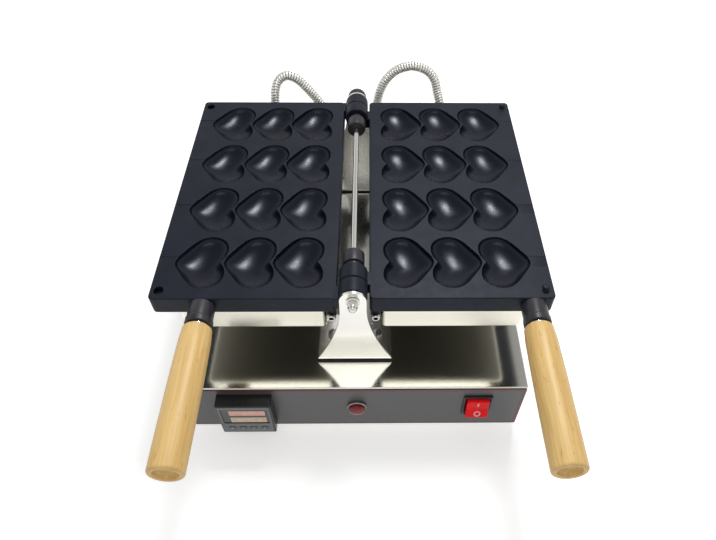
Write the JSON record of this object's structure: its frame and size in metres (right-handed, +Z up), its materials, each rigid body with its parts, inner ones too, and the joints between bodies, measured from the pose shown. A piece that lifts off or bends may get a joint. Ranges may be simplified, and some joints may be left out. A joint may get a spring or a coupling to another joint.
{
  "type": "electric heart waffle maker",
  "caption": "Countertop electric waffle maker: two cast plates with rows of heart cavities fold about one rod over a stainless control box.",
  "frame": {"origin": "on the table, under the centre of the whole machine's outline", "axes": "+X to the user's right across both plates, +Y away from the user along the hinge rod, +Z up"},
  "size_m": [0.32, 0.4488, 0.1873],
  "materials": {
    "cast_black": "cast, dark non-stick coat, satin",
    "stainless": "bright rolled sheet",
    "grey_film": "printed panel film, satin",
    "rubber": "matt",
    "black_plastic": "moulded, fine grain",
    "window": "clear window over lit rows",
    "bright_steel": "polished",
    "blackened_steel": "black oxide, semi-gloss",
    "nickel_brass": "nickel plated",
    "conduit_steel": "interlocked strip",
    "red_lens": "tinted, glossy",
    "red_plastic": "glossy",
    "wood": "turned, clear satin lacquer",
    "ceramic": "glazed ceramic",
    "mineral_wool": "felted"
  },
  "bodies": {
    "base": {"base_shell": "stainless", "base_bottom_plate": "stainless", "front_panel_film": "grey_film", "foot_front_left": "rubber", "foot_front_right": "rubber", "foot_rear_left": "rubber", "foot_rear_right": "rubber", "controller_housing": "black_plastic", "controller_window": "window", "lamp_bezel": "bright_steel", "lamp_lens": "red_lens", "switch_housing": "black_plastic", "front_bracket": "stainless", "rear_bracket": "stainless", "front_bracket_gasket": "rubber", "rear_bracket_gasket": "rubber", "front_bracket_bolt_left": "bright_steel", "front_bracket_bolt_right": "bright_steel", "rear_bracket_bolt_left": "bright_steel", "rear_bracket_bolt_right": "bright_steel", "hinge_rod": "bright_steel", "front_acorn_nut": "bright_steel", "rear_cap_nut": "blackened_steel", "front_collar": "blackened_steel", "rear_collar": "blackened_steel", "base_gland_left": "nickel_brass", "base_gland_right": "nickel_brass", "left_conduit": "conduit_steel", "right_conduit": "conduit_steel", "terminal_block": "ceramic", "power_relay": "black_plastic", "mains_inlet_gland": "black_plastic"},
    "left_pan": {"left_plate": "cast_black", "left_cover": "stainless", "left_heating_element": "bright_steel", "left_insulation_pad": "mineral_wool", "left_temperature_probe": "bright_steel", "left_cover_bolt": "bright_steel", "left_handle_socket": "blackened_steel", "left_handle_washer": "bright_steel", "left_wood_grip": "wood", "left_handle_bolt": "bright_steel", "left_conduit_elbow": "nickel_brass"},
    "right_pan": {"right_plate": "cast_black", "right_cover": "stainless", "right_heating_element": "bright_steel", "right_insulation_pad": "mineral_wool", "right_temperature_probe": "bright_steel", "right_cover_bolt": "bright_steel", "right_handle_socket": "blackened_steel", "right_handle_washer": "bright_steel", "right_wood_grip": "wood", "right_handle_bolt": "bright_steel", "right_conduit_elbow": "nickel_brass"},
    "power_rocker": {"switch_rocker": "red_plastic"},
    "key_1": {"controller_key_1": "rubber"},
    "key_2": {"controller_key_2": "rubber"},
    "key_3": {"controller_key_3": "rubber"},
    "key_4": {"controller_key_4": "rubber"}
  },
  "joints": [
    {"name": "left_pan_hinge", "type": "hinge", "parent": "base", "child": "left_pan", "pos_m": [0, 0, 0.16], "axis": [0, 1, 0], "range_deg": [0, 180], "deforming": ["left_conduit", "right_conduit"]},
    {"name": "right_pan_hinge", "type": "hinge", "parent": "base", "child": "right_pan", "pos_m": [0, 0, 0.16], "axis": [0, -1, 0], "range_deg": [0, 180], "deforming": ["left_conduit", "right_conduit"]},
    {"name": "power_rocker_hinge", "type": "hinge", "parent": "base", "child": "power_rocker", "pos_m": [0.1085, -0.117, 0.0475], "axis": [1, 0, 0], "range_deg": [0, 24]},
    {"name": "key_1_press", "type": "slide", "parent": "base", "child": "key_1", "axis": [0, 1, 0], "range_m": [0, 0.0008], "stiffness_N_per_m": 200},
    {"name": "key_2_press", "type": "slide", "parent": "base", "child": "key_2", "axis": [0, 1, 0], "range_m": [0, 0.0008], "stiffness_N_per_m": 200},
    {"name": "key_3_press", "type": "slide", "parent": "base", "child": "key_3", "axis": [0, 1, 0], "range_m": [0, 0.0008], "stiffness_N_per_m": 200},
    {"name": "key_4_press", "type": "slide", "parent": "base", "child": "key_4", "axis": [0, 1, 0], "range_m": [0, 0.0008], "stiffness_N_per_m": 200}
  ]
}
